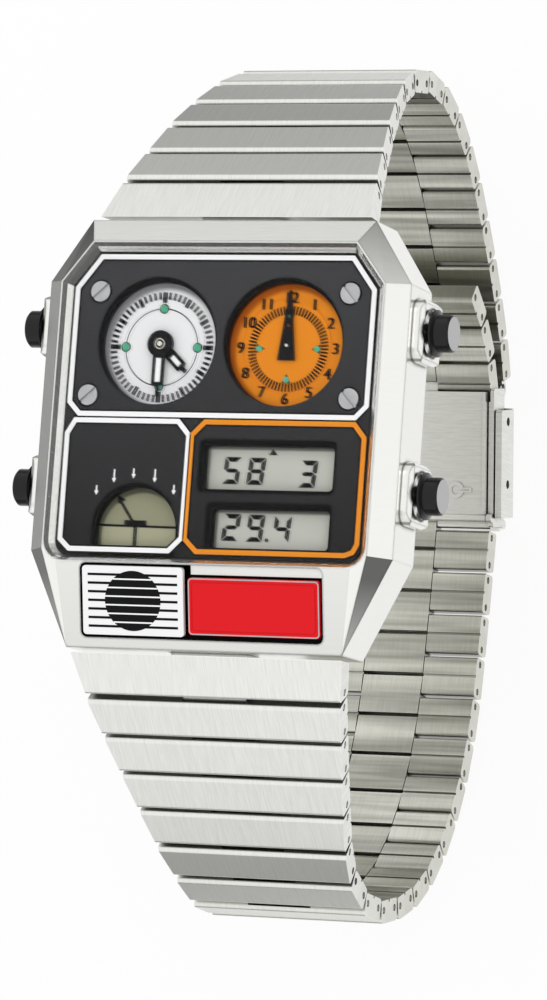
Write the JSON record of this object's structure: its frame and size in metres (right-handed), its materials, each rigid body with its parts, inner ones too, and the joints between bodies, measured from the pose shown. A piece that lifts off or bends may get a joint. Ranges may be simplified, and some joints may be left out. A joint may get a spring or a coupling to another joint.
{
  "type": "digital and analogue wristwatch",
  "caption": "Steel-cased wristwatch with two small dials, digital displays, side buttons and a tapering folded-link bracelet closed round a wrist by a fold-over clasp.",
  "frame": {"origin": "middle of the case back's outer face", "axes": "+Z out of the dial, +Y towards 12 o'clock, +X towards 3 o'clock"},
  "size_m": [0.0388, 0.0749, 0.05],
  "materials": {
    "link_steel": "long brushed bars",
    "case_steel": "polished bevels, brushed flats",
    "clasp_steel": "fine brushed sheet",
    "screw_steel": "polished",
    "black_rubber": "matt",
    "clear_glass": "clear",
    "charcoal_paint": "satin charcoal",
    "white_paint": "satin white",
    "orange_paint": "satin orange",
    "black_paint": "satin black",
    "grey_display": "grey-green display",
    "olive_display": "olive display",
    "white_plate": "white plate",
    "red_paint": "glossy red",
    "dark_plastic": "moulded",
    "green_plastic": "circuit board",
    "bright_metal": "nickel",
    "brass_disc": "plain",
    "copper_coil": "enamelled wire",
    "black_gloss": "gloss black with a grey end"
  },
  "bodies": {
    "case_body": {"case": "case_steel", "case_back": "case_steel", "case_back_screws": "screw_steel", "case_back_gasket": "black_rubber", "crystal": "clear_glass", "dial_plate": "charcoal_paint", "dial_screws": "screw_steel", "time_sub_dial": "white_paint", "zone_sub_dial": "orange_paint", "lcd_glass": "grey_display", "fan_lcd": "olive_display", "speaker_grille": "white_plate", "red_plate": "red_paint", "module_housing": "dark_plastic", "circuit_board": "green_plastic", "battery": "bright_metal", "buzzer": "brass_disc", "coil_motor": "copper_coil", "button_seals": "black_rubber", "spring_bars": "screw_steel"},
    "hour_hand_body": {"hour_hand": "black_paint"},
    "minute_hand_body": {"minute_hand": "black_paint"},
    "zone_hand_body": {"zone_hand": "black_paint"},
    "button_2h_body": {"button_2h": "black_gloss"},
    "button_4h_body": {"button_4h": "black_gloss"},
    "button_8h_body": {"button_8h": "black_gloss"},
    "button_10h_body": {"button_10h": "black_gloss"},
    "upper_0": {"upper_link_0": "link_steel"},
    "upper_1": {"upper_link_1": "link_steel"},
    "upper_2": {"upper_link_2": "link_steel"},
    "upper_3": {"upper_link_3": "link_steel"},
    "upper_4": {"upper_link_4": "link_steel"},
    "upper_5": {"upper_link_5": "link_steel"},
    "upper_6": {"upper_link_6": "link_steel"},
    "upper_7": {"upper_link_7": "link_steel"},
    "upper_8": {"upper_link_8": "link_steel"},
    "upper_9": {"upper_link_9": "link_steel"},
    "upper_10_11": {"upper_links_10_11": "link_steel"},
    "upper_12_13": {"upper_links_12_13": "link_steel"},
    "upper_14_15": {"upper_links_14_15": "link_steel"},
    "lower_0": {"lower_link_0": "link_steel"},
    "lower_1": {"lower_link_1": "link_steel"},
    "lower_2": {"lower_link_2": "link_steel"},
    "lower_3": {"lower_link_3": "link_steel"},
    "lower_4": {"lower_link_4": "link_steel"},
    "lower_5": {"lower_link_5": "link_steel"},
    "lower_6": {"lower_link_6": "link_steel"},
    "lower_7": {"lower_link_7": "link_steel"},
    "lower_8": {"lower_link_8": "link_steel"},
    "lower_9": {"lower_link_9": "link_steel"},
    "lower_10": {"lower_link_10": "link_steel"},
    "lower_11": {"lower_link_11": "link_steel"},
    "lower_12": {"lower_link_12": "link_steel"},
    "lower_13_14": {"lower_links_13_14": "link_steel"},
    "lower_15_16": {"lower_links_15_16": "link_steel"},
    "lower_17_19": {"lower_links_17_19": "link_steel"},
    "clasp": {"clasp_box": "clasp_steel", "tail_links": "link_steel"},
    "cover": {"clasp_cover": "clasp_steel"},
    "lock": {"lock_plate": "clasp_steel"}
  },
  "joints": [
    {"name": "upper_hinge_0", "type": "hinge", "parent": "case_body", "child": "upper_0", "pos_m": [0, 0.0171, 0.0045], "axis": [1, 0, 0], "range_deg": [0, 6]},
    {"name": "upper_hinge_1", "type": "hinge", "parent": "upper_0", "child": "upper_1", "pos_m": [0, 0.0222, 0.0031], "axis": [1, 0, 0], "range_deg": [0, 8]},
    {"name": "upper_hinge_2", "type": "hinge", "parent": "upper_1", "child": "upper_2", "pos_m": [0, 0.02505, 0.00044], "axis": [1, 0, 0], "range_deg": [0, 1]},
    {"name": "upper_hinge_3", "type": "hinge", "parent": "upper_2", "child": "upper_3", "pos_m": [0, 0.02786, -0.00227], "axis": [1, 0, 0], "range_deg": [0, 7]},
    {"name": "upper_hinge_4", "type": "hinge", "parent": "upper_3", "child": "upper_4", "pos_m": [0, 0.03031, -0.0053], "axis": [1, 0, 0], "range_deg": [0, 5]},
    {"name": "upper_hinge_5", "type": "hinge", "parent": "upper_4", "child": "upper_5", "pos_m": [0, 0.03249, -0.00853], "axis": [1, 0, 0], "range_deg": [0, 10.5]},
    {"name": "upper_hinge_6", "type": "hinge", "parent": "upper_5", "child": "upper_6", "pos_m": [0, 0.03405, -0.01211], "axis": [1, 0, 0], "range_deg": [0, 14]},
    {"name": "upper_hinge_7", "type": "hinge", "parent": "upper_6", "child": "upper_7", "pos_m": [0, 0.03469, -0.01596], "axis": [1, 0, 0], "range_deg": [0, 18]},
    {"name": "upper_hinge_8", "type": "hinge", "parent": "upper_7", "child": "upper_8", "pos_m": [0, 0.03412, -0.01981], "axis": [1, 0, 0], "range_deg": [0, 15.5]},
    {"name": "upper_hinge_9", "type": "hinge", "parent": "upper_8", "child": "upper_9", "pos_m": [0, 0.03253, -0.02338], "axis": [1, 0, 0], "range_deg": [0, 12]},
    {"name": "upper_hinge_10", "type": "hinge", "parent": "upper_9", "child": "upper_10_11", "pos_m": [0, 0.03024, -0.02653], "axis": [1, 0, 0], "range_deg": [0, 8.5]},
    {"name": "upper_hinge_12", "type": "hinge", "parent": "upper_10_11", "child": "upper_12_13", "pos_m": [0, 0.02452, -0.03182], "axis": [1, 0, 0], "range_deg": [0, 2]},
    {"name": "upper_hinge_14", "type": "hinge", "parent": "upper_12_13", "child": "upper_14_15", "pos_m": [0, 0.01823, -0.03643], "axis": [1, 0, 0], "range_deg": [0, 3]},
    {"name": "lower_hinge_0", "type": "hinge", "parent": "case_body", "child": "lower_0", "pos_m": [0, -0.0171, 0.0045], "axis": [-1, 0, 0], "range_deg": [0, 5]},
    {"name": "lower_hinge_1", "type": "hinge", "parent": "lower_0", "child": "lower_1", "pos_m": [0, -0.0222, 0.0031], "axis": [-1, 0, 0], "range_deg": [0, 9.5]},
    {"name": "lower_hinge_2", "type": "hinge", "parent": "lower_1", "child": "lower_2", "pos_m": [0, -0.02512, 0.00052], "axis": [-1, 0, 0], "range_deg": [0, 1]},
    {"name": "lower_hinge_3", "type": "hinge", "parent": "lower_2", "child": "lower_3", "pos_m": [0, -0.028, -0.00212], "axis": [-1, 0, 0], "range_deg": [0, 1]},
    {"name": "lower_hinge_4", "type": "hinge", "parent": "lower_3", "child": "lower_4", "pos_m": [0, -0.03083, -0.0048], "axis": [-1, 0, 0], "range_deg": [0, 1.5]},
    {"name": "lower_hinge_5", "type": "hinge", "parent": "lower_4", "child": "lower_5", "pos_m": [0, -0.03358, -0.00756], "axis": [-1, 0, 0], "range_deg": [0, 9]},
    {"name": "lower_hinge_6", "type": "hinge", "parent": "lower_5", "child": "lower_6", "pos_m": [0, -0.03588, -0.01072], "axis": [-1, 0, 0], "range_deg": [0, 11]},
    {"name": "lower_hinge_7", "type": "hinge", "parent": "lower_6", "child": "lower_7", "pos_m": [0, -0.03752, -0.01425], "axis": [-1, 0, 0], "range_deg": [0, 20]},
    {"name": "lower_hinge_8", "type": "hinge", "parent": "lower_7", "child": "lower_8", "pos_m": [0, -0.03786, -0.01814], "axis": [-1, 0, 0], "range_deg": [0, 15]},
    {"name": "lower_hinge_9", "type": "hinge", "parent": "lower_8", "child": "lower_9", "pos_m": [0, -0.03719, -0.02198], "axis": [-1, 0, 0], "range_deg": [0, 9.5]},
    {"name": "lower_hinge_10", "type": "hinge", "parent": "lower_9", "child": "lower_10", "pos_m": [0, -0.03588, -0.02565], "axis": [-1, 0, 0], "range_deg": [0, 13]},
    {"name": "lower_hinge_11", "type": "hinge", "parent": "lower_10", "child": "lower_11", "pos_m": [0, -0.03379, -0.02894], "axis": [-1, 0, 0], "range_deg": [0, 12.5]},
    {"name": "lower_hinge_12", "type": "hinge", "parent": "lower_11", "child": "lower_12", "pos_m": [0, -0.03103, -0.0317], "axis": [-1, 0, 0], "range_deg": [0, 10.5]},
    {"name": "lower_hinge_13", "type": "hinge", "parent": "lower_12", "child": "lower_13_14", "pos_m": [0, -0.02782, -0.03391], "axis": [-1, 0, 0], "range_deg": [0, 8.5]},
    {"name": "lower_hinge_15", "type": "hinge", "parent": "lower_13_14", "child": "lower_15_16", "pos_m": [0, -0.02059, -0.03679], "axis": [-1, 0, 0], "range_deg": [0, 6.5]},
    {"name": "lower_hinge_17", "type": "hinge", "parent": "lower_15_16", "child": "lower_17_19", "pos_m": [0, -0.01289, -0.03794], "axis": [-1, 0, 0], "range_deg": [0, 1.5]},
    {"name": "clasp_hinge", "type": "hinge", "parent": "lower_17_19", "child": "clasp", "pos_m": [0, -0.00121, -0.03866], "axis": [-1, 0, 0], "range_deg": [0, 12]},
    {"name": "cover_hinge", "type": "hinge", "parent": "clasp", "child": "cover", "pos_m": [0, -0.00112, -0.04037], "axis": [-1, 0, 0], "range_deg": [0, 60]},
    {"name": "lock_hinge", "type": "hinge", "parent": "clasp", "child": "lock", "pos_m": [0, -0.00095, -0.03717], "axis": [1, 0, 0], "range_deg": [0, 70]},
    {"name": "minute_spin", "type": "hinge", "parent": "case_body", "child": "minute_hand_body", "pos_m": [-0.00576, 0.00764, 0.0076], "axis": [0, 0, -1], "continuous": true},
    {"name": "hour_spin", "type": "hinge", "parent": "case_body", "child": "hour_hand_body", "pos_m": [-0.00576, 0.00764, 0.0074], "axis": [0, 0, -1], "continuous": true},
    {"name": "zone_spin", "type": "hinge", "parent": "case_body", "child": "zone_hand_body", "pos_m": [0.00576, 0.00764, 0.0074], "axis": [0, 0, -1], "continuous": true},
    {"name": "press_2h", "type": "slide", "parent": "case_body", "child": "button_2h_body", "axis": [-1, 0, 0], "range_m": [0, 0.0006], "stiffness_N_per_m": 2500, "springref_m": -0.0003},
    {"name": "press_4h", "type": "slide", "parent": "case_body", "child": "button_4h_body", "axis": [-1, 0, 0], "range_m": [0, 0.0006], "stiffness_N_per_m": 2500, "springref_m": -0.0003},
    {"name": "press_8h", "type": "slide", "parent": "case_body", "child": "button_8h_body", "axis": [1, 0, 0], "range_m": [0, 0.0006], "stiffness_N_per_m": 2500, "springref_m": -0.0003},
    {"name": "press_10h", "type": "slide", "parent": "case_body", "child": "button_10h_body", "axis": [1, 0, 0], "range_m": [0, 0.0006], "stiffness_N_per_m": 2500, "springref_m": -0.0003}
  ],
  "couplings": [
    {"joint": "upper_hinge_1", "follows": "upper_hinge_0", "ratio": 1.3333},
    {"joint": "upper_hinge_2", "follows": "upper_hinge_0", "ratio": 0.16667},
    {"joint": "upper_hinge_3", "follows": "upper_hinge_0", "ratio": 1.1667},
    {"joint": "upper_hinge_4", "follows": "upper_hinge_0", "ratio": 0.83333},
    {"joint": "upper_hinge_5", "follows": "upper_hinge_0", "ratio": 1.75},
    {"joint": "upper_hinge_6", "follows": "upper_hinge_0", "ratio": 2.3333},
    {"joint": "upper_hinge_7", "follows": "upper_hinge_0", "ratio": 3},
    {"joint": "upper_hinge_8", "follows": "upper_hinge_0", "ratio": 2.5833},
    {"joint": "upper_hinge_9", "follows": "upper_hinge_0", "ratio": 2},
    {"joint": "upper_hinge_10", "follows": "upper_hinge_0", "ratio": 1.4167},
    {"joint": "upper_hinge_12", "follows": "upper_hinge_0", "ratio": 0.33333},
    {"joint": "upper_hinge_14", "follows": "upper_hinge_0", "ratio": 0.5},
    {"joint": "lower_hinge_0", "follows": "upper_hinge_0", "ratio": 0.83333},
    {"joint": "lower_hinge_1", "follows": "upper_hinge_0", "ratio": 1.5833},
    {"joint": "lower_hinge_2", "follows": "upper_hinge_0", "ratio": 0.16667},
    {"joint": "lower_hinge_3", "follows": "upper_hinge_0", "ratio": 0.16667},
    {"joint": "lower_hinge_4", "follows": "upper_hinge_0", "ratio": 0.25},
    {"joint": "lower_hinge_5", "follows": "upper_hinge_0", "ratio": 1.5},
    {"joint": "lower_hinge_6", "follows": "upper_hinge_0", "ratio": 1.8333},
    {"joint": "lower_hinge_7", "follows": "upper_hinge_0", "ratio": 3.3333},
    {"joint": "lower_hinge_8", "follows": "upper_hinge_0", "ratio": 2.5},
    {"joint": "lower_hinge_9", "follows": "upper_hinge_0", "ratio": 1.5833},
    {"joint": "lower_hinge_10", "follows": "upper_hinge_0", "ratio": 2.1667},
    {"joint": "lower_hinge_11", "follows": "upper_hinge_0", "ratio": 2.0833},
    {"joint": "lower_hinge_12", "follows": "upper_hinge_0", "ratio": 1.75},
    {"joint": "lower_hinge_13", "follows": "upper_hinge_0", "ratio": 1.4167},
    {"joint": "lower_hinge_15", "follows": "upper_hinge_0", "ratio": 1.0833},
    {"joint": "lower_hinge_17", "follows": "upper_hinge_0", "ratio": 0.25},
    {"joint": "clasp_hinge", "follows": "upper_hinge_0", "ratio": 2},
    {"joint": "hour_spin", "follows": "minute_spin", "ratio": 0.083333}
  ]
}
